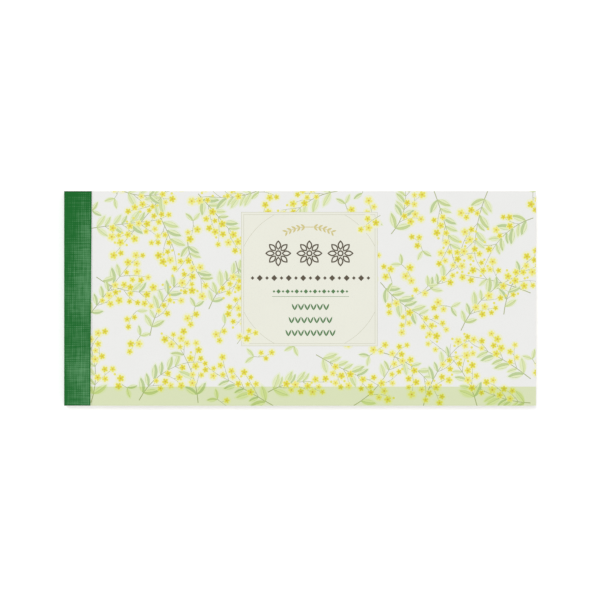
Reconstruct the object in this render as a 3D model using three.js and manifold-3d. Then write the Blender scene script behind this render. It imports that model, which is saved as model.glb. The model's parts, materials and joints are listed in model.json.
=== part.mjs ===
import * as THREE from "three";
import { mergeVertices } from "three/addons/utils/BufferGeometryUtils.js";
import Module from "manifold-3d";

// A closed receipt book that lies on its back cover, in millimetres. +X runs from the bound edge to
// the fore edge, +Y up the page and +Z up. Each sheet is bound at the left and turns about one crease.

// The book block.
const BOOK_LENGTH = 176;
const BOOK_HEIGHT = 80;
const SETS = 20; // a set is one receipt and the copy below it
const LEAF_THICKNESS = 0.07;
const LEAF_AIR = 0.01;
const COVER_THICKNESS = 0.25;
const BACK_THICKNESS = 0.4;
const SHEET_GAP = 0.01; // between the block and the covers

// The cloth tape round the bound edge.
const TAPE_THICKNESS = 0.15;
const TAPE_REACH_HEAD = 10.27; // how far it turns over the cover at the top edge
const TAPE_SLANT = 0.46; // how much less it turns over at the bottom edge
const TAPE_BACK_SHORTFALL = 0.27; // how much less it turns over the back cover
const TAPE_GAP = 0.02;

// The crease that the cover and the leaves turn about.
const CREASE_PAST_TAPE = 0.13;
const CREASE_SLIT = 0.08; // between the bound strips and the turning sheets
const CREASE_ABOVE_COVER = 0.02;

// The card that stops the writing from reaching the next set.
const SHIELD_THICKNESS = 0.2;
const SHIELD_FROM_CREASE = 10;
const SHIELD_INSET_FORE = 1.5;
const SHIELD_INSET_SIDE = 2;
// The leaves rise over the card's edge between these two distances from the crease.
const RISE_START = 1;
const RISE_END = 9;

// The tear-off line of each receipt.
const TEAR_FROM_CREASE = 3.6;
const TEAR_CUTS = 20;
const TEAR_CUT_LENGTH = 2.4;
const TEAR_CUT_WIDTH = 0.15;

// The two flat-wire staples.
const STAPLE_CROWN = 12;
const STAPLE_THICKNESS = 0.35;
const STAPLE_WIDTH = 0.55;
const STAPLE_TURN = 4.5; // how far each leg is folded in under the back cover
const STAPLE_BEND = 0.3;
const STAPLE_FROM_SPINE = 5;
const STAPLE_SPACING = 40;
const STAPLE_GAP = 0.03;

const spineX = -BOOK_LENGTH / 2;
const foreX = BOOK_LENGTH / 2;
const blockX = spineX + TAPE_THICKNESS + TAPE_GAP;
const tapeHeadX = spineX + TAPE_REACH_HEAD;
const tapeFootX = tapeHeadX - TAPE_SLANT;
const tapeBackX = tapeHeadX - TAPE_BACK_SHORTFALL;
const creaseX = tapeHeadX + CREASE_PAST_TAPE;
const boundEndX = creaseX - CREASE_SLIT / 2;
const flapStartX = creaseX + CREASE_SLIT / 2;

// Levels, from the table up.
const leafPitch = LEAF_THICKNESS + LEAF_AIR;
const rebateZ = TAPE_THICKNESS + TAPE_GAP;
const blockZ = BACK_THICKNESS + SHEET_GAP;
const blockTopZ = blockZ + 2 * SETS * leafPitch - LEAF_AIR;
const coverZ = blockTopZ + SHEET_GAP;
const coverTopZ = coverZ + COVER_THICKNESS;
const tapeZ = coverTopZ + SHEET_GAP;
const tapeTopZ = tapeZ + TAPE_THICKNESS;
const rise = SHIELD_THICKNESS + 2 * SHEET_GAP;

const wasm = await Module();
wasm.setup();

const group = new THREE.Group();
group.name = "receipt_book";

function add(name, geometry, colour, roughness = 0.8, metalness = 0) {
  const material = new THREE.MeshStandardMaterial({ color: colour, roughness, metalness });
  const mesh = new THREE.Mesh(geometry, material);
  mesh.name = name;
  group.add(mesh);
}

function toSolid(geometry) {
  const bare = geometry.clone();
  bare.deleteAttribute("normal");
  bare.deleteAttribute("uv");
  const merged = mergeVertices(bare, 1e-4);
  const vertProperties = new Float32Array(merged.attributes.position.array);
  const triVerts = new Uint32Array(merged.index.array);
  return new wasm.Manifold(new wasm.Mesh({ numProp: 3, vertProperties, triVerts }));
}

function toGeometry(solid) {
  const mesh = solid.getMesh();
  const geometry = new THREE.BufferGeometry();
  geometry.setAttribute("position", new THREE.BufferAttribute(mesh.vertProperties, 3));
  geometry.setIndex(new THREE.BufferAttribute(mesh.triVerts, 1));
  geometry.computeVertexNormals();
  return geometry;
}

// A box between two corners.
function box(x0, x1, y0, y1, z0, z1) {
  const geometry = new THREE.BoxGeometry(x1 - x0, y1 - y0, z1 - z0);
  return geometry.translate((x0 + x1) / 2, (y0 + y1) / 2, (z0 + z1) / 2);
}

// A profile in X and Z, run along Y over the whole height of the book.
function alongHeight(shape) {
  const geometry = new THREE.ExtrudeGeometry(shape, {
    depth: BOOK_HEIGHT,
    bevelEnabled: false,
    curveSegments: 4,
  });
  return geometry.rotateX(Math.PI / 2).translate(0, BOOK_HEIGHT / 2, 0);
}

// A sheet that leaves the crease at height z, rises over the writing shield and runs to the fore edge.
function turningSheet(z, thickness) {
  const riseX = creaseX + RISE_START;
  const flatX = creaseX + RISE_END;
  const shape = new THREE.Shape();
  shape.moveTo(flapStartX, z);
  shape.lineTo(riseX, z);
  shape.lineTo(flatX, z + rise);
  shape.lineTo(foreX, z + rise);
  shape.lineTo(foreX, z + rise + thickness);
  shape.lineTo(flatX, z + rise + thickness);
  shape.lineTo(riseX, z + thickness);
  shape.lineTo(flapStartX, z + thickness);
  shape.closePath();
  return alongHeight(shape);
}

// The staples' places along the bound edge.
const staples = [
  { name: "staple_upper", y: STAPLE_SPACING / 2 },
  { name: "staple_lower", y: -STAPLE_SPACING / 2 },
];
const stapleX = spineX + STAPLE_FROM_SPINE;
const half = STAPLE_CROWN / 2;

// One staple: a crown pressed into the cover, two legs, and both ends folded in under the back cover.
function staple(y) {
  const wire = STAPLE_THICKNESS;
  const bend = STAPLE_BEND;
  const top = coverTopZ;
  const foot = rebateZ;
  const shape = new THREE.Shape();
  shape.moveTo(-half + STAPLE_TURN, foot);
  shape.lineTo(-half + STAPLE_TURN, foot + wire);
  shape.lineTo(-half + wire, foot + wire);
  shape.lineTo(-half + wire, top - wire);
  shape.lineTo(half - wire, top - wire);
  shape.lineTo(half - wire, foot + wire);
  shape.lineTo(half - STAPLE_TURN, foot + wire);
  shape.lineTo(half - STAPLE_TURN, foot);
  shape.lineTo(half - bend, foot);
  shape.absarc(half - bend, foot + bend, bend, -Math.PI / 2, 0, false);
  shape.lineTo(half, top - bend);
  shape.absarc(half - bend, top - bend, bend, 0, Math.PI / 2, false);
  shape.lineTo(-half + bend, top);
  shape.absarc(-half + bend, top - bend, bend, Math.PI / 2, Math.PI, false);
  shape.lineTo(-half, foot + bend);
  shape.absarc(-half + bend, foot + bend, bend, Math.PI, Math.PI * 1.5, false);
  shape.closePath();
  const wireBody = new THREE.ExtrudeGeometry(shape, {
    depth: STAPLE_WIDTH,
    bevelEnabled: false,
    curveSegments: 5,
  });
  // The outline's axes become Y and Z, and its depth becomes X.
  const turn = new THREE.Matrix4().makeBasis(
    new THREE.Vector3(0, 1, 0),
    new THREE.Vector3(0, 0, 1),
    new THREE.Vector3(1, 0, 0),
  );
  return wireBody.applyMatrix4(turn).translate(stapleX - STAPLE_WIDTH / 2, y, 0);
}

// The room that both staples take, with their clearance.
function stapleRoom() {
  const gap = STAPLE_GAP;
  const x0 = stapleX - STAPLE_WIDTH / 2 - gap;
  const x1 = stapleX + STAPLE_WIDTH / 2 + gap;
  const wire = STAPLE_THICKNESS + gap;
  const low = rebateZ - gap;
  const high = coverTopZ + gap;
  const rooms = staples.flatMap(({ y }) => [
    box(x0, x1, y - half - gap, y + half + gap, high - gap - wire, high),
    box(x0, x1, y - half - gap, y - half + wire, low, high),
    box(x0, x1, y + half - wire, y + half + gap, low, high),
    box(x0, x1, y - half - gap, y - half + STAPLE_TURN + gap, low, low + gap + wire),
    box(x0, x1, y + half - STAPLE_TURN - gap, y + half + gap, low, low + gap + wire),
  ]);
  return rooms.map(toSolid).reduce((whole, room) => whole.add(room));
}
const room = stapleRoom();

function stapled(geometry) {
  return toGeometry(toSolid(geometry).subtract(room));
}

// Back cover: the tape's turned-over part lies in a pressed rebate, flush with the card.
const rebateEndX = tapeBackX + TAPE_GAP;
const backProfile = new THREE.Shape();
backProfile.moveTo(blockX, rebateZ);
backProfile.lineTo(rebateEndX, rebateZ);
backProfile.lineTo(rebateEndX, 0);
backProfile.lineTo(foreX, 0);
backProfile.lineTo(foreX, BACK_THICKNESS);
backProfile.lineTo(blockX, BACK_THICKNESS);
backProfile.closePath();
add("back_cover", stapled(alongHeight(backProfile)), 0xd9d6c8);

// The bound edges of all leaves, pressed together by the staples.
const low = -BOOK_HEIGHT / 2;
const high = BOOK_HEIGHT / 2;
const stubs = box(blockX, boundEndX, low, high, blockZ, blockTopZ);
add("bound_leaf_stubs", stapled(stubs), 0xf4f4ee);

const coverStrip = box(blockX, boundEndX, low, high, coverZ, coverTopZ);
add("front_cover_bound_strip", stapled(coverStrip), 0xeaeae6);

staples.forEach(({ name, y }) => add(name, staple(y), 0xb9bcc0, 0.35, 1));

// The tape: a channel round the bound edge, its front edge cut at a slight slant.
function spineTape() {
  const reachX = Math.max(tapeHeadX, tapeFootX);
  const inner = spineX + TAPE_THICKNESS;
  const corner = TAPE_THICKNESS;
  const shape = new THREE.Shape();
  shape.moveTo(spineX + corner, 0);
  shape.lineTo(tapeBackX, 0);
  shape.lineTo(tapeBackX, TAPE_THICKNESS);
  shape.lineTo(inner, TAPE_THICKNESS);
  shape.lineTo(inner, tapeZ);
  shape.lineTo(reachX, tapeZ);
  shape.lineTo(reachX, tapeTopZ);
  shape.lineTo(spineX + corner, tapeTopZ);
  shape.absarc(spineX + corner, tapeTopZ - corner, corner, Math.PI / 2, Math.PI, false);
  shape.lineTo(spineX, corner);
  shape.absarc(spineX + corner, corner, corner, Math.PI, Math.PI * 1.5, false);
  shape.closePath();
  const offcut = new THREE.Shape();
  offcut.moveTo(tapeFootX, low);
  offcut.lineTo(reachX + 1, low);
  offcut.lineTo(reachX + 1, high);
  offcut.lineTo(tapeHeadX, high);
  offcut.closePath();
  const slant = new THREE.ExtrudeGeometry(offcut, { depth: 1, bevelEnabled: false });
  slant.translate(0, 0, tapeZ - 0.5);
  return toGeometry(toSolid(alongHeight(shape)).subtract(toSolid(slant)));
}
add("spine_tape", spineTape(), 0x32763f, 0.9);

const shield = box(
  creaseX + SHIELD_FROM_CREASE,
  foreX - SHIELD_INSET_FORE,
  low + SHIELD_INSET_SIDE,
  high - SHIELD_INSET_SIDE,
  blockZ,
  blockZ + SHIELD_THICKNESS,
);
add("writing_shield", shield, 0xc9c2a8);

// The cuts of one tear-off line, for a receipt whose bound edge lies at height z.
function tearLine(z) {
  const pitch = BOOK_HEIGHT / TEAR_CUTS;
  const x = creaseX + TEAR_FROM_CREASE;
  const cuts = Array.from({ length: TEAR_CUTS }, (_, i) => {
    const y = low + (i + 0.5) * pitch;
    return toSolid(
      box(
        x - TEAR_CUT_WIDTH / 2,
        x + TEAR_CUT_WIDTH / 2,
        y - TEAR_CUT_LENGTH / 2,
        y + TEAR_CUT_LENGTH / 2,
        z - 1,
        z + rise + 1,
      ),
    );
  });
  return cuts.reduce((whole, cut) => whole.add(cut));
}

// The leaves, numbered from the top: each receipt with its copy below it.
for (let set = 1; set <= SETS; set++) {
  const number = String(set).padStart(2, "0");
  const copyZ = blockZ + 2 * (SETS - set) * leafPitch;
  const receiptZ = copyZ + leafPitch;
  const receipt = toSolid(turningSheet(receiptZ, LEAF_THICKNESS)).subtract(tearLine(receiptZ));
  add("receipt_" + number, toGeometry(receipt), 0xfbfbf7);
  add("copy_" + number, turningSheet(copyZ, LEAF_THICKNESS), 0xf6f1dc);
}

add("front_cover", turningSheet(coverZ, COVER_THICKNESS), 0xeaeae6);

// Every turning sheet shares this crease line, just above the closed cover.
group.userData.crease = { x: creaseX, z: coverTopZ + rise + CREASE_ABOVE_COVER };

export default group;
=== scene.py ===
"""A closed receipt book on a white table: printed cover, forty leaves, cloth tape, card and staples."""

import json
import math
import random

import bmesh
import bpy
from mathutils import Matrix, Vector
from mathutils.geometry import delaunay_2d_cdt


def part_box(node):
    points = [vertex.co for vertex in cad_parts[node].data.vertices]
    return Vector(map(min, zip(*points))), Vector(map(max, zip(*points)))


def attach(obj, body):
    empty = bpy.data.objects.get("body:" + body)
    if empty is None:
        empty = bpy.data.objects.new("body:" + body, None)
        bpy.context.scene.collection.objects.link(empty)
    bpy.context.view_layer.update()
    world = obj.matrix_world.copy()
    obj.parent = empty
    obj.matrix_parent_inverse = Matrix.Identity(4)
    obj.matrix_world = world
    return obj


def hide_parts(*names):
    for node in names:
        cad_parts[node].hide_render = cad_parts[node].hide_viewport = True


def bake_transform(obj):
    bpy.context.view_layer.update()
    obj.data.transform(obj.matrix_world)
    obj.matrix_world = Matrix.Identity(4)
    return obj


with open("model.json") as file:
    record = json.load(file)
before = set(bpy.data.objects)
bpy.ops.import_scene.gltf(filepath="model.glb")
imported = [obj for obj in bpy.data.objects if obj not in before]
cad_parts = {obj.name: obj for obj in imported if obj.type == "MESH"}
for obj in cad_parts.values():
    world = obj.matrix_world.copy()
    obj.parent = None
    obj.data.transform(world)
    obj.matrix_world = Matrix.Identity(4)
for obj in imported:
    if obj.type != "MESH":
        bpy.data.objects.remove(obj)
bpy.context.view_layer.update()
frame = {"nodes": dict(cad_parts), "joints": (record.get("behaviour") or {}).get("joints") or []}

MM = 0.001

# The book, in millimetres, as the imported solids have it.
cover_low, cover_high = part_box("front_cover")
tape_low, tape_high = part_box("spine_tape")
hinge = next(j for j in frame["joints"] if j["name"] == "cover_turn")
CREASE_X = hinge["pos_m"][0] / MM
CREASE_Z = hinge["pos_m"][2] / MM
FORE_X = cover_high.x / MM
FLAP_X = cover_low.x / MM
HALF_HEIGHT = cover_high.y / MM
COVER_THICKNESS = 0.25
LEAF_THICKNESS = 0.07
LEAF_PITCH = 0.08
TAPE_THICKNESS = 0.15
TAPE_REACH_HEAD = 10.27
TAPE_SLANT = 0.46
TAPE_BACK_SHORTFALL = 0.27

# Each sheet leaves the crease level, then rises over the writing shield between these distances.
RISE_START = 1.0
RISE_END = 9.0
RISE_SPARE = 0.5
SHEET_RISE = 0.22

# A sheet is cut into close columns over this length, where it would curve when turned.
LEAF_BEND = 7.0
COVER_BEND = 4.0

# A receipt's perforation.
TEAR_FROM_CREASE = 3.6
TEAR_CUTS = 20
TEAR_CUT_LENGTH = 2.4
TEAR_CUT_WIDTH = 0.15

STAPLE_GAP = 0.05
TAPE_FOLD_SLACK = 0.03
TAPE_FOLD_STEPS = 5
SLIVER = 1e-4  # nearer than this is the same place

TAPE_MAP = 200.0  # the tape's own map is one unit for this many millimetres
TAPE_FOLD = 13.6  # how far along the tape its upper fold lies, from its end under the book
CLOTH_PITCH = 0.7

# The label's middle and size, the width of its lines, and the gap between its two frames. Its circle is so
# large that only four pieces of it lie inside the frames, one in each corner.
LABEL_X = 3.5
LABEL_Y = 7.2
LABEL_WIDTH = 50.9
LABEL_HEIGHT = 50.0
LABEL_RULE = 0.16
LABEL_INSET = 0.88
LABEL_RADIUS = 27.4
CORNER_STEPS = 12
ORNAMENTS_RIGHT = 0.4  # the rows under the rosettes stand a little right of the label's middle

# The tinted band along the bottom: its upper edge, and a clear ink that multiplies what lies under it.
BAND_TOP = -32.9
BAND_TINT = (0.82, 0.89, 0.585)

# The photograph is taken from straight above: how much of the cover's level fits across it, and how far its
# middle lies below the book's.
FRAME_WIDTH = 223.74
FRAME_DOWN = 0.6
FOCAL_LENGTH = 100.0
SENSOR_WIDTH = 36.0

# The light and the table. The window's spread and tilt are in degrees, and the table lies a hair below.
SKY_LIGHT = 0.72
WINDOW_LIGHT = 0.95
WINDOW_SPREAD = 24
WINDOW_TILT = (-23, -14)
TABLE_GLOW = 0.19
TABLE_METRES = 6.0
TABLE_DROP = 0.02


def srgb(red, green, blue):
    """A colour written as it looks, from 0 to 255, as Blender's linear numbers."""
    def linear(value):
        value /= 255
        return value / 12.92 if value <= 0.04045 else ((value + 0.055) / 1.055) ** 2.4
    return (linear(red), linear(green), linear(blue), 1.0)


# Papers and inks.
COVER_PAPER = srgb(236, 236, 234)
RECEIPT_PAPER = srgb(244, 244, 240)
COPY_PAPER = srgb(243, 238, 218)
GREEN_LINE = srgb(126, 172, 128)
GREEN_TINT = srgb(222, 236, 216)
ORANGE_LINE = srgb(214, 160, 112)
ORANGE_TINT = srgb(243, 226, 200)
LABEL_PAPER = srgb(234, 234, 221)
LABEL_LINE = srgb(204, 204, 184)
LABEL_BROWN = srgb(84, 74, 58)
LABEL_GREEN = srgb(84, 126, 78)
LABEL_GOLD = srgb(208, 196, 132)
LEAF_SHADES = [srgb(208, 221, 158), srgb(196, 211, 146), srgb(216, 226, 170), srgb(186, 205, 148)]
LEAF_LIGHT = srgb(225, 233, 188)
LEAF_WASH = srgb(231, 235, 214)
VEIN = srgb(170, 190, 130)
STEM = srgb(172, 180, 132)
FLOWER_WASH = srgb(236, 237, 210)
PETAL_RIM = srgb(239, 236, 170)
PETALS = [srgb(228, 222, 86), srgb(234, 229, 118), srgb(222, 214, 64)]
FLOWER_HEART = srgb(214, 178, 56)
BUD = srgb(230, 224, 104)
SLOT = None  # what a staple's slot has for ink


# The camera.

def look_down():
    data = bpy.data.cameras.new("camera")
    data.sensor_width = SENSOR_WIDTH
    data.lens = FOCAL_LENGTH
    camera = bpy.data.objects.new("camera", data)
    bpy.context.scene.collection.objects.link(camera)
    distance = FOCAL_LENGTH / SENSOR_WIDTH * FRAME_WIDTH * MM
    camera.location = (0, -FRAME_DOWN * MM, cover_high.z + distance)
    bpy.context.scene.camera = camera


# Shader maths.

class Value:
    """A number's socket in a node tree, so that shader maths reads as Python."""

    def __init__(self, shading, socket):
        self.shading = shading
        self.socket = socket

    def maths(self, operation, *others):
        sockets = dict(enumerate([self, *others]))
        node = self.shading.node("ShaderNodeMath", {"operation": operation}, sockets)
        return Value(self.shading, node.outputs[0])

    def __add__(self, other):
        return self.maths("ADD", other)

    __radd__ = __add__

    def __mul__(self, other):
        return self.maths("MULTIPLY", other)

    __rmul__ = __mul__

    def __sub__(self, other):
        return self.maths("SUBTRACT", other)

    def __rsub__(self, other):
        return (self * -1) + other

    def smooth(self, low, high):
        """0 below low, 1 above high, and a soft step between."""
        settings = {"interpolation_type": "SMOOTHSTEP"}
        sockets = {"Value": self, "From Min": low, "From Max": high}
        node = self.shading.node("ShaderNodeMapRange", settings, sockets)
        return Value(self.shading, node.outputs[0])


class Shading:
    """A node tree, and short ways to add to it."""

    def __init__(self, tree):
        self.tree = tree
        self.places = {}

    def node(self, kind, settings=None, sockets=None):
        node = self.tree.nodes.new(kind)
        for key, value in (settings or {}).items():
            setattr(node, key, value)
        for key, value in (sockets or {}).items():
            self.feed(node.inputs[key], value)
        return node

    def feed(self, socket, value):
        if isinstance(value, Value):
            value = value.socket
        if isinstance(value, bpy.types.NodeSocket):
            self.tree.links.new(value, socket)
        else:
            socket.default_value = value

    def place(self, output="Object"):
        """Object or UV coordinates."""
        if output not in self.places:
            self.places[output] = self.node("ShaderNodeTexCoord").outputs[output]
        return self.places[output]

    def stretched(self, place, scale):
        return self.node("ShaderNodeMapping", sockets={"Vector": place, "Scale": scale}).outputs[0]

    def split(self, vector, axis):
        node = self.node("ShaderNodeSeparateXYZ", sockets={0: vector})
        return Value(self, node.outputs[axis])

    def noise(self, scale, detail, place):
        sockets = {"Vector": place, "Scale": scale, "Detail": detail}
        return Value(self, self.node("ShaderNodeTexNoise", sockets=sockets).outputs[0])

    def mix(self, factor, one, other, blend="MIX"):
        settings = {"data_type": "RGBA", "blend_type": blend}
        return self.node("ShaderNodeMix", settings, {0: factor, 6: one, 7: other}).outputs[2]


class Finish(Shading):
    """A material with one Principled shader."""

    def __init__(self, name, roughness, specular):
        self.material = bpy.data.materials.new(name)
        self.material.use_nodes = True
        super().__init__(self.material.node_tree)
        self.shader = self.tree.nodes["Principled BSDF"]
        self.shader.inputs["Roughness"].default_value = roughness
        self.shader.inputs["Specular IOR Level"].default_value = specular

    def colour(self, value):
        self.feed(self.shader.inputs["Base Color"], value)

    def roughness(self, value):
        self.feed(self.shader.inputs["Roughness"], value)

    def bump(self, height, depth_mm, strength):
        sockets = {"Height": height, "Distance": depth_mm * MM, "Strength": strength}
        self.feed(self.shader.inputs["Normal"], self.node("ShaderNodeBump", sockets=sockets).outputs[0])


# Finishes. Clouds, fibres and streaks are counts per metre.

PAPER_GLOSS = 0.35
PAPER_CLOUDS = 90.0
PAPER_FIBRES = 2600.0
BACK_CARD_FIBRES = 1400.0
SHIELD_CARD_FIBRES = 1600.0
WIRE_STREAKS = 1800.0


def paper_grain(finish, tint, spread, fibre, place):
    """The tint, with the faint clouds and fibres of paper."""
    clouds = finish.noise(PAPER_CLOUDS, 3.0, place)
    fibres = finish.noise(fibre, 2.0, place)
    shade = (clouds + fibres) * spread + (1 - spread)
    finish.bump(fibres, 0.02, 0.35)
    finish.roughness(clouds * 0.1 + finish.shader.inputs["Roughness"].default_value)
    grey = finish.node("ShaderNodeCombineColor", sockets={0: shade, 1: shade, 2: shade}).outputs[0]
    finish.colour(finish.mix(1.0, tint, grey, "MULTIPLY"))


def sheet_place(finish):
    """A sheet's own map, in metres, so that its grain turns with it."""
    size = ((FORE_X - FLAP_X) * MM, 2 * HALF_HEIGHT * MM, 1.0)
    return finish.stretched(finish.place("UV"), size)


def sheet_finish(name, tint, roughness):
    finish = Finish(name, roughness, PAPER_GLOSS)
    paper_grain(finish, tint, 0.03, PAPER_FIBRES, sheet_place(finish))
    return finish.material


def printed_cover_finish():
    """Cover paper whose colour is the ink that each face carries, a little uneven as printed washes are."""
    finish = Finish("printed_cover", 0.5, PAPER_GLOSS)
    ink = finish.node("ShaderNodeAttribute", {"attribute_name": "ink"}).outputs["Color"]
    paper_grain(finish, ink, 0.035, PAPER_FIBRES, sheet_place(finish))
    return finish.material


def card_finish(name, tint, roughness, spread, fibre):
    finish = Finish(name, roughness, PAPER_GLOSS)
    paper_grain(finish, tint, spread, fibre, finish.place())
    return finish.material


def binding_cloth():
    """Dyed book cloth: fine threads both ways, some thicker, read along the tape's own surface. It has
    painted
    light: painted shade next to its upper fold, a painted sheen that grows towards its front edge, and
    painted shade along that edge, at its cut head and foot, and towards the head."""
    finish = Finish("binding_cloth", 0.78, 0.2)
    uv = finish.place("UV")
    along = finish.split(uv, 0)
    up = finish.split(uv, 1) * TAPE_MAP - HALF_HEIGHT

    slubs = finish.noise(11.0, 2.0, uv)
    pitch = 2 * math.pi * TAPE_MAP / CLOTH_PITCH
    weft = (along * pitch + slubs * 3.0).maths("SINE") * 0.5 + 0.5
    warp = (finish.split(uv, 1) * pitch + slubs * 3.0).maths("SINE") * 0.5 + 0.5
    weave = weft * warp
    warp_streaks = finish.noise(1.0, 2.0, finish.stretched(uv, (300.0, 26.0, 1.0)))
    weft_streaks = finish.noise(1.0, 2.0, finish.stretched(uv, (26.0, 300.0, 1.0)))
    threads = (warp_streaks + weft_streaks) * 0.5

    def past_fold(near, far):
        """From 0 to 1 between two distances past the upper fold, towards the front edge."""
        return along.smooth((TAPE_FOLD + near) / TAPE_MAP, (TAPE_FOLD + far) / TAPE_MAP)

    # Painted shade: the cut head and foot are darker.
    cut_end_shade = up.maths("ABSOLUTE").smooth(HALF_HEIGHT - 0.5, HALF_HEIGHT - 0.2)
    # Painted shade, darker towards the head.
    head_shade = up.smooth(6, 24) * 0.14 + up.smooth(30, 41) * 0.34
    # Painted shade next to the upper fold, and a painted sheen that grows towards the front edge.
    fold_shade_and_sheen = past_fold(0, 1.6) * 0.14 + past_fold(0, 9) * 0.24
    # Painted shade along the front edge.
    front_edge_shade = past_fold(9.7, 9.95) * 0.4
    uneven = (threads - 0.5) * 1.75 + (slubs - 0.5) * 1.1
    light = uneven + weave * 0.48 + fold_shade_and_sheen - front_edge_shade - cut_end_shade * 0.2 - head_shade
    # The dye's colours carry the painted shade and sheen, and the cut ends get a dark painted shade on top.
    dye_and_painted_light = finish.mix(light.smooth(0.0, 1.0), srgb(8, 100, 33), srgb(90, 150, 100))
    finish.colour(finish.mix(cut_end_shade * 0.4, dye_and_painted_light, srgb(18, 58, 32)))
    finish.roughness(weave * 0.12 + 0.70)
    finish.bump(weave + threads, 0.05, 0.6)
    return finish.material


def stacked_edges():
    """The bound edges of white receipts and cream copies, one on the other."""
    finish = Finish("stacked_paper_edges", 0.8, 0.2)
    level = finish.split(finish.place(), 2) * (1 / MM)
    turn = (level * (math.pi / LEAF_PITCH)).maths("SINE")
    finish.colour(finish.mix(turn.smooth(-0.3, 0.3), COPY_PAPER, RECEIPT_PAPER))
    line = (level * (2 * math.pi / LEAF_PITCH)).maths("COSINE")
    finish.roughness(line * 0.05 + 0.8)
    finish.bump(line, 0.01, 0.4)
    return finish.material


def galvanised_wire():
    finish = Finish("galvanised_wire", 0.32, 0.5)
    finish.shader.inputs["Metallic"].default_value = 1.0
    streaks = finish.noise(WIRE_STREAKS, 3.0, finish.place())
    finish.colour(finish.mix(streaks, srgb(168, 170, 172), srgb(205, 206, 208)))
    finish.roughness(streaks * 0.25 + 0.22)
    return finish.material


# The cover's print, as flat outlines in millimetres. Each is (ink, points), and a later one lies over an
# earlier one.

# Half of a pointed oval, by shares of its length and of half its width.
OVAL_EDGE = [(0.12, 0.5), (0.3, 0.88), (0.5, 1.0), (0.7, 0.82), (0.88, 0.4)]

# A petal between two notches, by shares of its turn and of its reach.
PETAL_EDGE = [(0.22, 0.92), (0.5, 1.0), (0.78, 0.92)]
PETAL_COUNT = 5

# The plants' sizes: widths of lines, a leaf's width as a share of its length, and ranges to draw from.
SPRIG_STEM = 0.34
CLUSTER_STEM = 0.2
STALK = 0.15
VEIN_WIDTH = 0.13
LEAF_WIDTH = 0.35
SPRIG_LEAF = (4.6, 6.4)
SIDE_LEAF = (3.8, 5.0)
LOOSE_LEAF = 4.0
STALK_REACH = (1.2, 2.2)
FLOWER_RADIUS = (1.0, 1.5)
BUD_RADIUS = 0.5
SPRIG_JOINTS = 7
SCATTER_TRIES = 400

# Where the random draws start, for the plants under the label and for those over it.
MEADOW_SEED = 23
OVER_SEED = 5

# Where each sprig starts, its heading in degrees and its length.
SPRIGS = [
    (-78, -39, 74, 24), (-80, -8, 52, 24), (-79, 26, 8, 22), (-60, -38, 60, 22), (-50, 40, -128, 22),
    (-56, -14, 78, 24), (-38, -39, 96, 22), (-34, -4, 66, 22), (-38, 39, -48, 20), (-76, 8, -34, 20),
    (-42, 22, -84, 18), (-10, -40, 150, 22), (-16, 40, -160, 16), (-24, 14, -76, 20), (6, -21, -30, 20),
    (14, 40, 190, 18), (20, -40, 32, 22), (34, 24, 52, 18), (30, 6, -50, 22), (30, -20, -16, 22),
    (46, -40, 74, 24), (50, 40, -70, 24), (46, 2, 30, 22), (66, -40, 106, 24), (70, 40, -112, 22),
    (60, -12, 64, 24), (86, -30, 142, 22), (86, 2, 158, 20), (87, 30, 200, 20), (76, -6, 82, 20),
    (86, -39, 176, 16), (-66, 40, -20, 14), (-12, -35, 28, 16), (-52, 30, -62, 12),
]

# Where each cluster that reaches over the label starts, and its heading in degrees.
CLUSTERS_OVER_LABEL = [(30.0, 31.0, -150), (-23.5, -17.0, 52)]


def ahead(x, y, heading, length):
    """The place at this length from here."""
    return x + length * math.cos(heading), y + length * math.sin(heading)


def turned(points, x, y, heading):
    c, s = math.cos(heading), math.sin(heading)
    return [(x + c * u - s * v, y + s * u + c * v) for u, v in points]


def bar(ink, x, y, width, height):
    """An upright rectangle round its middle."""
    dx, dy = width / 2, height / 2
    return ink, [(x - dx, y - dy), (x + dx, y - dy), (x + dx, y + dy), (x - dx, y + dy)]


def disc(ink, x, y, radius, sides, start=0.0):
    return ink, [ahead(x, y, start + 2 * math.pi * i / sides, radius) for i in range(sides)]


def oval(ink, x, y, heading, length, width):
    """A pointed oval that starts at the place."""
    upper = [(length * u, -width / 2 * v) for u, v in OVAL_EDGE]
    lower = [(length * u, width / 2 * v) for u, v in reversed(OVAL_EDGE)]
    return ink, turned([(0, 0), *upper, (length, 0), *lower], x, y, heading)


def arc(x, y, heading, length, bend, steps):
    """Places and headings along a stroke that curves evenly."""
    route = [(x, y, heading)]
    for _ in range(steps):
        x, y = ahead(x, y, heading, length / steps)
        heading += bend / steps
        route.append((x, y, heading))
    return route


def stroke(route, width, ink=STEM):
    """A thin line along the route that tapers to its end."""
    left, right = [], []
    for i, (x, y, heading) in enumerate(route):
        half = width * (1 - 0.6 * i / len(route)) / 2
        nx, ny = -math.sin(heading) * half, math.cos(heading) * half
        left.append((x + nx, y + ny))
        right.append((x - nx, y - ny))
    return ink, right + left[::-1]


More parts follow.
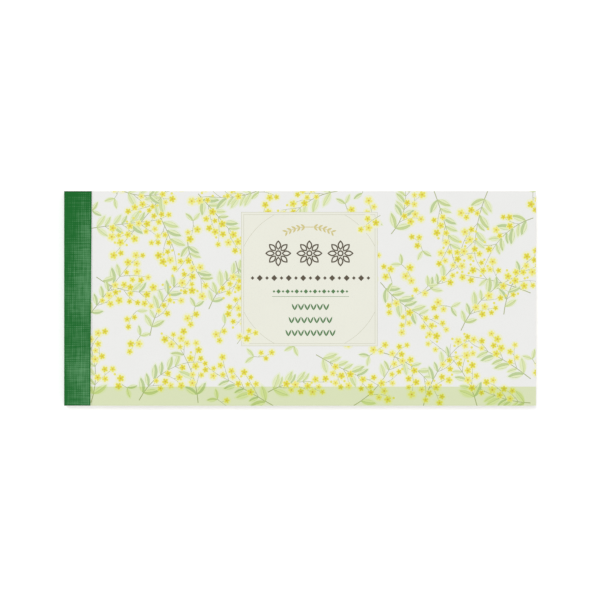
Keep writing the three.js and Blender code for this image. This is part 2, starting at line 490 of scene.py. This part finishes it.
class Meadow:
    """The printed plants: stems and leaves below, flowers on top, none crowding another."""

    def __init__(self, seed):
        self.chance = random.Random(seed)
        self.taken = []
        self.washes = []
        self.stems = []
        self.leaves = []
        self.flowers = []

    def crowded(self, x, y, radius):
        return any(math.hypot(x - u, y - v) < radius + r for u, v, r in self.taken)

    def take(self, x, y, radius):
        if self.crowded(x, y, radius):
            return False
        self.taken.append((x, y, radius))
        return True

    def leaf(self, x, y, heading, length):
        """An oval leaf on its pale wash, one half lit, with its vein."""
        width = length * LEAF_WIDTH
        if not self.take(*ahead(x, y, heading, length * 0.62), width * 0.44):
            return
        self.washes.append(oval(LEAF_WASH, x, y, heading, length * 1.12, width * 1.55))
        shade = self.chance.choice(LEAF_SHADES)
        self.leaves.append(oval(shade, x, y, heading, length, width))
        lit = turned([(0.4, width * 0.2)], x, y, heading)[0]
        self.leaves.append(oval(LEAF_LIGHT, *lit, heading, length * 0.8, width * 0.42))
        self.leaves.append(stroke(arc(x, y, heading, length * 0.9, 0.0, 1), VEIN_WIDTH, VEIN))

    def flower(self, x, y, radius):
        """Five notched petals with a pale rim and a warm heart, if there is room."""
        if not self.take(x, y, radius * 0.92):
            return False
        start = self.chance.uniform(0, 2 * math.pi)

        def petals(ink, reach, notch):
            shape = []
            for i in range(PETAL_COUNT):
                for share, depth in [(0.0, notch), *PETAL_EDGE]:
                    angle = start + (i + share) * 2 * math.pi / PETAL_COUNT
                    shape.append(ahead(x, y, angle, reach * depth))
            return ink, shape

        self.washes.append(disc(FLOWER_WASH, x, y, radius * 1.5, 9, start))
        self.flowers.append(petals(PETAL_RIM, radius * 1.12, 0.66))
        self.flowers.append(petals(self.chance.choice(PETALS), radius * 0.9, 0.55))
        self.flowers.append(disc(FLOWER_HEART, x, y, radius * 0.25, 6, start))
        return True

    def cluster(self, x, y, heading, count):
        """Flowers on short stalks along a small side stem, and a bud where a flower has no room."""
        route = arc(x, y, heading, count * 1.75, self.chance.uniform(-0.8, 0.8), count)
        self.stems.append(stroke(route, CLUSTER_STEM))
        for i, (px, py, way) in enumerate(route[1:], 1):
            lean = way + (0.9 if i % 2 else -0.9) * (i < count)
            reach = self.chance.uniform(*STALK_REACH)
            hx, hy = ahead(px, py, lean, reach)
            if self.flower(hx, hy, self.chance.uniform(*FLOWER_RADIUS)):
                self.stems.append(stroke(arc(px, py, lean, reach, 0.0, 2), STALK))
            elif self.take(hx, hy, BUD_RADIUS * 0.8):
                self.flowers.append(disc(BUD, hx, hy, BUD_RADIUS, 8))

    def sprig(self, x, y, heading, length):
        """A stem with pairs of leaves, and clusters of flowers between them and at its end."""
        route = arc(x, y, heading, length, self.chance.uniform(-0.9, 0.9), SPRIG_JOINTS)
        self.stems.append(stroke(route, SPRIG_STEM))
        for i, (px, py, way) in enumerate(route[1:-1], 1):
            if i % 2:
                size = self.chance.uniform(*SPRIG_LEAF)
                self.leaf(px, py, way + 0.8, size)
                self.leaf(px, py, way - 0.8, size)
            else:
                self.cluster(px, py, way - self.chance.uniform(0.5, 0.8), self.chance.choice((3, 4, 5)))
                self.leaf(px, py, way + 0.9, self.chance.uniform(*SIDE_LEAF))
        self.cluster(*route[-1], 4)

    def scatter(self, tries):
        """Small loose clusters where the sprigs leave a wide gap."""
        for _ in range(tries):
            x, y = self.chance.uniform(FLAP_X, FORE_X), self.chance.uniform(-HALF_HEIGHT, HALF_HEIGHT)
            heading = self.chance.uniform(0, 2 * math.pi)
            if not self.crowded(*ahead(x, y, heading, 3), 4.2):
                self.leaf(x, y, heading + 2.4, LOOSE_LEAF)
                self.leaf(x, y, heading - 2.4, LOOSE_LEAF)
                self.cluster(x, y, heading, 3)


def label():
    """A pale square with a double frame, a circle's arc in each corner, and rows of plain ornaments."""
    x, y = LABEL_X, LABEL_Y
    shapes = []
    for inset in (0, LABEL_INSET):
        width, height = LABEL_WIDTH - 2 * inset, LABEL_HEIGHT - 2 * inset
        shapes.append(bar(LABEL_LINE, x, y, width, height))
        shapes.append(bar(LABEL_PAPER, x, y, width - 2 * LABEL_RULE, height - 2 * LABEL_RULE))
    shapes += corner_arcs(x, y, width - LABEL_RULE, height - LABEL_RULE)
    shapes += gold_twig(x, y + 19.4, 0, -0.5) + gold_twig(x, y + 19.4, math.pi, 0.5)
    for i in (-1, 0, 1):
        shapes += rosette(x + i * 11.6, y + 9.6, 4.9)
    x += ORNAMENTS_RIGHT
    shapes += row_of_lozenges(LABEL_BROWN, x, y + 0.4, count=17, pitch=2.7, size=1.15)
    shapes += row_of_lozenges(LABEL_GREEN, x, y - 4.6, count=17, pitch=1.7, size=0.85)
    shapes.append(bar(LABEL_GREEN, x, y - 6.5, width=28.7, height=0.14))
    shapes += row_of_leaf_pairs(LABEL_GREEN, x, y - 11.6, count=6, pitch=2.35)
    shapes += row_of_leaf_pairs(LABEL_GREEN, x, y - 16.5, count=7, pitch=2.35)
    shapes += row_of_leaf_pairs(LABEL_GREEN, x, y - 21.3, count=8, pitch=2.35)
    return shapes


def corner_arcs(x, y, width, height):
    """The circle's line where it lies inside the rectangle, and that is only in the corners."""
    low, high = math.acos(width / 2 / LABEL_RADIUS), math.asin(height / 2 / LABEL_RADIUS)
    middle, reach = (low + high) / 2, (high - low) / 2
    shapes = []
    for corner in (middle, math.pi - middle, math.pi + middle, -middle):
        ways = [corner + reach * (2 * i / CORNER_STEPS - 1) for i in range(CORNER_STEPS + 1)]
        outer = [ahead(x, y, way, LABEL_RADIUS) for way in ways]
        inner = [ahead(x, y, way, LABEL_RADIUS - LABEL_RULE) for way in reversed(ways)]
        shapes.append((LABEL_LINE, outer + inner))
    return shapes


def gold_twig(x, y, heading, bend):
    """One half of the twig at the label's head."""
    route = arc(x, y, heading, 8.5, bend, 5)
    shapes = [stroke(route, 0.3, LABEL_GOLD)]
    for px, py, way in route[1:]:
        shapes += [oval(LABEL_GOLD, px, py, way + lean, 1.9, 0.7) for lean in (0.7, -0.7)]
    return shapes


def rosette(x, y, radius):
    """Eight open petals round a ring."""
    shapes = []
    for i in range(8):
        way = i * math.pi / 4
        for ink, foot, length, width in ((LABEL_BROWN, 0.26, 0.74, 0.46), (LABEL_PAPER, 0.38, 0.48, 0.24)):
            px, py = ahead(x, y, way, foot * radius)
            shapes.append(oval(ink, px, py, way, radius * length, radius * width))
    return shapes + [disc(LABEL_BROWN, x, y, radius * 0.24, 16), disc(LABEL_PAPER, x, y, radius * 0.13, 12)]


def row(x, count, pitch):
    """Even places to both sides of the middle."""
    return [x + (i - (count - 1) / 2) * pitch for i in range(count)]


def row_of_lozenges(ink, x, y, count, pitch, size):
    """Small and large lozenges in turn."""
    return [disc(ink, px, y, size * (1 if i % 2 else 0.6), 4) for i, px in enumerate(row(x, count, pitch))]


def row_of_leaf_pairs(ink, x, y, count, pitch):
    """Pairs of slim leaves that open upwards from the line."""
    return [oval(ink, px, y, way, 2.7, 0.66) for px in row(x, count, pitch) for way in (1.98, 1.16)]


def cover_print():
    """The flowers with the label over them, and a few blossoms over the label's edge."""
    meadow = Meadow(MEADOW_SEED)
    for x, y, heading, length in SPRIGS:
        meadow.sprig(x, y, math.radians(heading), length)
    meadow.scatter(SCATTER_TRIES)
    over = Meadow(OVER_SEED)
    for x, y, heading in CLUSTERS_OVER_LABEL:
        over.cluster(x, y, math.radians(heading), 4)
    plants = meadow.washes + meadow.stems + meadow.leaves + meadow.flowers
    return plants + label() + over.washes + over.stems + over.flowers


# Modelling by hand.

def deselect():
    if bpy.context.object and bpy.context.object.mode != "OBJECT":
        bpy.ops.object.mode_set(mode="OBJECT")
    bpy.ops.object.select_all(action="DESELECT")


def edit(piece):
    """Opens the piece in edit mode with all of it selected."""
    deselect()
    piece.select_set(True)
    bpy.context.view_layer.objects.active = piece
    bpy.ops.object.mode_set(mode="EDIT")
    bpy.ops.mesh.select_all(action="SELECT")


def plane(name, x0, y0, x1, y1, z):
    """A flat rectangle, left in edit mode."""
    deselect()
    bpy.ops.mesh.primitive_plane_add(size=MM, enter_editmode=True)
    bpy.ops.transform.resize(value=(x1 - x0, y1 - y0, 1))
    bpy.ops.transform.translate(value=((x0 + x1) / 2 * MM, (y0 + y1) / 2 * MM, z * MM))
    bpy.context.object.name = name
    return bpy.context.object


def pick(piece, kind, wanted):
    """Selects the corners, edges or faces whose places, in millimetres, pass the test, and no others."""
    bpy.ops.mesh.select_mode(type=kind)
    bpy.ops.mesh.select_all(action="DESELECT")
    mesh = bmesh.from_edit_mesh(piece.data)
    parts = {"VERT": mesh.verts, "EDGE": mesh.edges, "FACE": mesh.faces}[kind]
    for part in parts:
        corners = [part] if kind == "VERT" else part.verts
        if wanted([corner.co / MM for corner in corners]):
            part.select_set(True)
    bmesh.update_edit_mesh(piece.data)


def bisect(x, y, way):
    bpy.ops.mesh.bisect(plane_co=(x * MM, y * MM, 0), plane_no=way, threshold=SLIVER * MM)


def normals_out():
    """Points every face outwards and leaves edit mode."""
    bpy.ops.mesh.select_all(action="SELECT")
    bpy.ops.mesh.normals_make_consistent(inside=False)
    bpy.ops.object.mode_set(mode="OBJECT")


# Ruled leaves.

LINE, TINT = 1, 2  # the material slots of a leaf between its paper and its plain back


def choose(sheet, x0, y0, x1, y1):
    """Selects each face that lies wholly or partly in the rectangle."""
    def inside(corners):
        across = [corner.x for corner in corners]
        up = [corner.y for corner in corners]
        in_x = min(across) < x1 - SLIVER and max(across) > x0 + SLIVER
        in_y = min(up) < y1 - SLIVER and max(up) > y0 + SLIVER
        return in_x and in_y

    pick(sheet, "FACE", inside)


def cut_out(sheet, x0, y0, x1, y1):
    """Cuts the rectangle's four sides into the sheet and leaves its faces selected."""
    for x in (x0, x1):
        choose(sheet, x0, y0, x1, y1)
        bisect(x, 0, (1, 0, 0))
    for y in (y0, y1):
        choose(sheet, x0, y0, x1, y1)
        bisect(0, y, (0, 1, 0))
    choose(sheet, x0, y0, x1, y1)


def stamp(sheet, slot, x0, y0, x1, y1):
    cut_out(sheet, x0, y0, x1, y1)
    sheet.active_material_index = slot
    bpy.ops.object.material_slot_assign()


def rule_frame(sheet, x0, y0, x1, y1, width):
    stamp(sheet, LINE, x0, y0, x1, y0 + width)
    stamp(sheet, LINE, x0, y1 - width, x1, y1)
    stamp(sheet, LINE, x0, y0, x0 + width, y1)
    stamp(sheet, LINE, x1 - width, y0, x1, y1)


def rule_form(sheet):
    """A receipt's form: title bar, name line, amount box, stamp box, table and signing lines."""
    left, right, top = -66.0, 82.0, 35.0
    margin = left + 3
    rule_frame(sheet, left, -top, right, top, 0.25)
    stamp(sheet, TINT, margin, 24.0, left + 50, 32.0)
    for x0, x1, y in ((2, 40, 27), (50, 79, 27), (margin, 40, 14), (8, 79, -20), (8, 79, -26), (8, 79, -32)):
        stamp(sheet, LINE, x0, y, x1, y + 0.18)

    amount = (left + 20, -2.0, 46.0, 9.0)
    stamp(sheet, TINT, *amount)
    rule_frame(sheet, *amount, 0.3)
    for i in range(1, 11):
        x = left + 20 + i * 8.36
        stamp(sheet, LINE, x, -1.7, x + 0.12, 8.7)

    rule_frame(sheet, 52.0, -12.0, 79.0, 15.0, 0.2)

    table, row_height = -9.0, 5.6
    foot = table - 4 * row_height
    stamp(sheet, TINT, margin, table - row_height, 2.0, table)
    rule_frame(sheet, margin, foot, 2.0, table, 0.2)
    for i in (2, 3):
        y = table - i * row_height
        stamp(sheet, LINE, margin + 0.2, y, 1.8, y + 0.12)
    for x in (left + 22, left + 40):
        stamp(sheet, LINE, x, foot + 0.2, x + 0.12, table - row_height)


def tear_line(sheet):
    """Opens the cuts of a receipt's perforation."""
    x = CREASE_X + TEAR_FROM_CREASE
    x0, x1 = x - TEAR_CUT_WIDTH / 2, x + TEAR_CUT_WIDTH / 2
    cut_out(sheet, x0, -HALF_HEIGHT, x1, HALF_HEIGHT)
    for i in range(TEAR_CUTS):
        y = -HALF_HEIGHT + (i + 0.5) * 2 * HALF_HEIGHT / TEAR_CUTS
        cut_out(sheet, x0, y - TEAR_CUT_LENGTH / 2, x1, y + TEAR_CUT_LENGTH / 2)
        bpy.ops.mesh.delete(type="FACE")


def rise_at(x):
    """How far a sheet has risen over the writing shield, in millimetres."""
    t = min(max((x - CREASE_X - RISE_START) / (RISE_END - RISE_START), 0), 1)
    return SHEET_RISE * t * t * (3 - 2 * t)


def lift(sheet):
    """Lays the flat sheet over the writing shield."""
    for vertex in sheet.data.vertices:
        vertex.co.z += rise_at(vertex.co.x / MM) * MM


def thicken(sheet, thickness):
    """Gives a leaf its thickness, downwards from its print."""
    bpy.ops.object.mode_set(mode="OBJECT")
    back = len(sheet.data.materials) - 1
    wall = sheet.modifiers.new("thickness", "SOLIDIFY")
    wall.thickness = thickness * MM
    wall.offset = -1
    wall.material_offset = back
    wall.material_offset_rim = back
    bpy.ops.object.modifier_apply(modifier="thickness")


def bend_columns(bend_length, close, wide):
    """Where a sheet is cut across: closely where it turns, then more widely until it has surely risen."""
    rest = RISE_END + RISE_SPARE - bend_length
    turning = [FLAP_X + bend_length * (i + 1) / close for i in range(close)]
    return turning + [FLAP_X + bend_length + rest * (i + 1) / wide for i in range(wide)]


def leaf_pattern(name, finishes, perforated):
    """One leaf on the level of its own underside, with narrow columns where it bends."""
    leaf = plane(name, FLAP_X, -HALF_HEIGHT, FORE_X, HALF_HEIGHT, LEAF_THICKNESS)
    for finish in finishes:
        leaf.data.materials.append(finish)
    for x in bend_columns(LEAF_BEND, close=14, wide=3):
        bpy.ops.mesh.select_all(action="SELECT")
        bisect(x, 0, (1, 0, 0))
    if perforated:
        tear_line(leaf)
    rule_form(leaf)
    thicken(leaf, LEAF_THICKNESS)
    lift(leaf)
    return leaf


# The printed cover.

def printed_faces(x0, x1, columns, slots):
    """The print from x0 to x1 as triangles: their places, their corners' numbers and each corner's ink."""
    outlines = [bar(COVER_PAPER, (x0 + x1) / 2, 0, x1 - x0, 2 * HALF_HEIGHT)]
    for ink, corners in cover_print():
        across = [x for x, _ in corners]
        if min(across) < x1 and max(across) > x0:
            outlines.append((ink, corners))
    outlines += slots

    points, outline_corners, line_ends = [], [], []
    for _, corners in outlines:
        outline_corners.append(list(range(len(points), len(points) + len(corners))))
        points += [Vector(corner) for corner in corners]
    lines = [((x, -HALF_HEIGHT), (x, HALF_HEIGHT)) for x in columns]
    lines.append(((x0, BAND_TOP), (x1, BAND_TOP)))
    for ends in lines:
        line_ends.append((len(points), len(points) + 1))
        points += [Vector(end) for end in ends]

    all_triangles, nearness, with_sources = 0, 1e-5, True
    places, _, triangles, _, _, outlines_over = delaunay_2d_cdt(
        points, line_ends, outline_corners, all_triangles, nearness, with_sources)
    kept, inks = [], []
    for triangle, over in zip(triangles, outlines_over):
        ink = outlines[max(over)][0] if 0 in over else SLOT
        if ink is SLOT:
            continue
        if sum(places[i].y for i in triangle) / 3 < BAND_TOP:
            ink = (*(a * b for a, b in zip(ink, BAND_TINT)), 1.0)
        kept.append(triangle)
        inks += [*ink] * 3
    return places, kept, inks


def printed_sheet(name, x0, x1, columns, finishes, slots=()):
    """Part of the cover. No cutting tool follows its flowers, so the print's outlines themselves divide the
    sheet's upper side into faces, and each face carries its ink. Staples pass through the slots."""
    places, triangles, inks = printed_faces(x0, x1, columns, slots)
    mesh = bpy.data.meshes.new(name)
    corners = [(place.x * MM, place.y * MM, COVER_THICKNESS * MM) for place in places]
    mesh.from_pydata(corners, [], triangles)
    mesh.color_attributes.new("ink", "FLOAT_COLOR", "CORNER").data.foreach_set("color", inks)
    for finish in finishes:
        mesh.materials.append(finish)
    sheet = bpy.data.objects.new(name, mesh)
    bpy.context.scene.collection.objects.link(sheet)
    edit(sheet)
    bpy.ops.mesh.delete_loose()
    close_inside(sheet, columns)
    lift(sheet)
    map_cover(sheet)
    return sheet


def close_inside(sheet, columns):
    """Draws the borders down by the cover's thickness and closes the inside, cut across where it bends."""
    bpy.ops.mesh.select_mode(type="EDGE")
    bpy.ops.mesh.select_all(action="DESELECT")
    bpy.ops.mesh.select_non_manifold()
    bpy.ops.mesh.extrude_region_move(TRANSFORM_OT_translate={"value": (0, 0, -COVER_THICKNESS * MM)})
    bpy.ops.mesh.fill()
    bpy.ops.mesh.hide(unselected=True)
    for x in columns:
        bpy.ops.mesh.select_all(action="SELECT")
        bisect(x, 0, (1, 0, 0))
    bpy.ops.mesh.reveal()
    normals_out()
    for face in sheet.data.polygons:
        face.material_index = 0 if face.normal.z > 0.5 else 1


def map_cover(sheet):
    """The cover's map runs from 0 to 1 along and up the part that opens."""
    uv = sheet.data.uv_layers.new(name="UVMap")
    for loop in sheet.data.loops:
        corner = sheet.data.vertices[loop.vertex_index].co / MM
        along = (corner.x - FLAP_X) / (FORE_X - FLAP_X)
        uv.data[loop.index].uv = (along, corner.y / (2 * HALF_HEIGHT) + 0.5)


def bound_strip(finishes):
    """The strip of the cover that stays under the tape, with its staple slots."""
    slots = []
    for node in ("staple_upper", "staple_lower"):
        low, high = (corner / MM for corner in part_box(node))
        size = high - low
        middle = (low + high) / 2
        slots.append(bar(SLOT, middle.x, middle.y, size.x + 2 * STAPLE_GAP, size.y + 2 * STAPLE_GAP))
    low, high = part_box("front_cover_bound_strip")
    return printed_sheet("strip_pattern", low.x / MM, high.x / MM, [], finishes, slots)


# Every sheet in its place.

def place_sheet(pattern, name, node):
    """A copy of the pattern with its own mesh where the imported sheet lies."""
    piece = bpy.data.objects.new(name, pattern.data.copy())
    bpy.context.scene.collection.objects.link(piece)
    edit(piece)
    bpy.ops.transform.translate(value=(0, 0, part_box(node)[0].z))
    bpy.ops.object.mode_set(mode="OBJECT")
    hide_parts(node)
    return piece


def turn_sheet(piece, bend_length):
    """Bakes the sheet's place into its mesh."""
    start = ((CREASE_X + bend_length) * MM, 0, CREASE_Z * MM)
    end = (CREASE_X * MM, 0, CREASE_Z * MM)
    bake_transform(piece)


def leaf_finishes(kind, paper, ink, line, tint):
    """A leaf's material slots: its paper, its lines, its tint and its plain back."""
    return [
        sheet_finish(f"{kind}_paper", paper, 0.75),
        sheet_finish(f"{kind}_{ink}_line", line, 0.7),
        sheet_finish(f"{kind}_{ink}_tint", tint, 0.7),
        sheet_finish(f"{kind}_back", paper, 0.75),
    ]


def turning_sheets():
    """The cover, the receipts and the copies: one of each is modelled, and the rest are copies of it."""
    cover_finishes = [printed_cover_finish(), sheet_finish("cover_inside", COVER_PAPER, 0.6)]
    receipt_finishes = leaf_finishes("receipt", RECEIPT_PAPER, "green", GREEN_LINE, GREEN_TINT)
    copy_finishes = leaf_finishes("copy", COPY_PAPER, "orange", ORANGE_LINE, ORANGE_TINT)
    cover_columns = bend_columns(COVER_BEND, close=20, wide=6)
    patterns = {
        "receipt": leaf_pattern("receipt_pattern", receipt_finishes, True),
        "copy": leaf_pattern("copy_pattern", copy_finishes, False),
        "cover": printed_sheet("cover_pattern", FLAP_X, FORE_X, cover_columns, cover_finishes),
        "strip": bound_strip(cover_finishes),
    }
    for node in frame["nodes"]:
        kind, _, number = node.partition("_")
        if kind in patterns and number.isdigit():
            leaf = place_sheet(patterns[kind], f"{kind}_leaf_{number}", node)
            turn_sheet(leaf, LEAF_BEND)
    cover = place_sheet(patterns["cover"], "printed_cover", "front_cover")
    turn_sheet(cover, COVER_BEND)
    strip = place_sheet(patterns["strip"], "printed_cover_strip", "front_cover_bound_strip")
    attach(strip, "bound_book")
    for pattern in patterns.values():
        bpy.data.objects.remove(pattern)


# The cloth tape.

def tape_route():
    """The tape's middle line round the bound edge, in X and Z, from under the book to over the cover."""
    middle = TAPE_THICKNESS / 2
    spine, low, high = tape_low.x / MM, tape_low.z / MM + middle, tape_high.z / MM - middle
    turn = middle + TAPE_FOLD_SLACK
    route = [(spine + TAPE_REACH_HEAD - TAPE_BACK_SHORTFALL, low), (spine + middle + turn, low)]

    def fold(level, start):
        for i in range(1, TAPE_FOLD_STEPS + 1):
            angle = math.radians(start - i * 90 / TAPE_FOLD_STEPS)
            route.append(ahead(spine + middle + turn, level, angle, turn))

    fold(low + turn, -90)
    route.append((spine + middle, high - turn))
    fold(high - turn, -180)
    route.append((spine + TAPE_REACH_HEAD, high))
    return route


def spine_tape():
    """One strip of cloth drawn round the bound edge, its front edge cut at a slight slant."""
    route = tape_route()
    (x0, z0), (x1, _) = route[:2]
    tape = plane("green_cloth_tape", x1, -HALF_HEIGHT, x0, HALF_HEIGHT, z0)
    pick(tape, "EDGE", lambda corners: all(abs(corner.x - x1) < SLIVER for corner in corners))
    for (xa, za), (xb, zb) in zip(route[1:], route[2:]):
        step = ((xb - xa) * MM, 0, (zb - za) * MM)
        bpy.ops.mesh.extrude_region_move(TRANSFORM_OT_translate={"value": step})

    def at_foot(corners):
        """The front edge's lower corner."""
        end_x, end_z = route[-1]
        corner = corners[0]
        return abs(corner.x - end_x) < SLIVER and abs(corner.z - end_z) < SLIVER and corner.y < 0

    pick(tape, "VERT", at_foot)
    bpy.ops.transform.translate(value=(-TAPE_SLANT * MM, 0, 0))
    normals_out()
    map_tape(tape, route)
    wall = tape.modifiers.new("cloth", "SOLIDIFY")
    wall.thickness = TAPE_THICKNESS * MM
    wall.offset = 0
    wall.use_even_offset = True
    bpy.ops.object.modifier_apply(modifier="cloth")
    bpy.ops.object.shade_smooth_by_angle(angle=math.radians(40))
    tape.data.materials.append(binding_cloth())
    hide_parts("spine_tape")
    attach(tape, "bound_book")


def map_tape(tape, route):
    """The tape's own map: how far along the cloth, and how far up the book."""
    reach = [0.0]
    for (xa, za), (xb, zb) in zip(route, route[1:]):
        reach.append(reach[-1] + math.hypot(xb - xa, zb - za))
    uv = tape.data.uv_layers.active
    for loop in tape.data.loops:
        corner = tape.data.vertices[loop.vertex_index].co / MM
        gaps = [math.hypot(corner.x - x, corner.z - z) for x, z in route]
        near = gaps.index(min(gaps))
        uv.data[loop.index].uv = (reach[near] / TAPE_MAP, (corner.y + HALF_HEIGHT) / TAPE_MAP)


# The solids that keep their shape.

def dress(node, material):
    """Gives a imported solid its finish."""
    for holder in frame["nodes"][node].material_slots:
        holder.link = "OBJECT"
        holder.material = material


def dress_solids():
    dress("bound_leaf_stubs", stacked_edges())
    dress("back_cover", card_finish("back_card", srgb(214, 208, 188), 0.8, 0.07, BACK_CARD_FIBRES))
    dress("writing_shield", card_finish("shield_card", srgb(206, 190, 150), 0.7, 0.06, SHIELD_CARD_FIBRES))
    wire = galvanised_wire()
    dress("staple_upper", wire)
    dress("staple_lower", wire)


# The table and the light.

def seen_white(shading):
    """1 where a camera, a reflection or glass looks straight at the surface."""
    rays = shading.node("ShaderNodeLightPath").outputs
    seen = Value(shading, rays["Is Camera Ray"]) + Value(shading, rays["Is Glossy Ray"])
    return (seen + Value(shading, rays["Is Transmission Ray"])).maths("MINIMUM", 1.0)


def table_top():
    deselect()
    bpy.ops.mesh.primitive_plane_add(size=TABLE_METRES, location=(0, 0, -TABLE_DROP * MM))
    table = bpy.context.object
    table.name = "table"
    finish = Finish("white_table", 0.9, 0.1)
    finish.colour(srgb(250, 250, 250))
    plain = finish.shader.outputs[0]
    glow = finish.node("ShaderNodeEmission", sockets={"Color": (1, 1, 1, 1), "Strength": TABLE_GLOW})
    glowing = finish.node("ShaderNodeAddShader", sockets={0: plain, 1: glow.outputs[0]}).outputs[0]
    chosen = finish.node("ShaderNodeMixShader", sockets={0: seen_white(finish), 1: plain, 2: glowing})
    finish.feed(finish.tree.nodes["Material Output"].inputs["Surface"], chosen.outputs[0])
    table.data.materials.append(finish.material)


def daylight():
    world = bpy.data.worlds.new("studio")
    bpy.context.scene.world = world
    world.use_nodes = True
    sky = Shading(world.node_tree)
    background = world.node_tree.nodes["Background"]
    background.inputs["Color"].default_value = (1, 1, 1, 1)
    sky.feed(background.inputs["Strength"], seen_white(sky) * (1 - SKY_LIGHT) + SKY_LIGHT)
    data = bpy.data.lights.new("window", "SUN")
    data.energy = WINDOW_LIGHT
    data.angle = math.radians(WINDOW_SPREAD)
    lamp = bpy.data.objects.new("window", data)
    lamp.rotation_euler = (*(math.radians(tilt) for tilt in WINDOW_TILT), 0)
    bpy.context.scene.collection.objects.link(lamp)


look_down()
turning_sheets()
spine_tape()
dress_solids()
table_top()
daylight()
bpy.context.scene.view_settings.view_transform = "Standard"
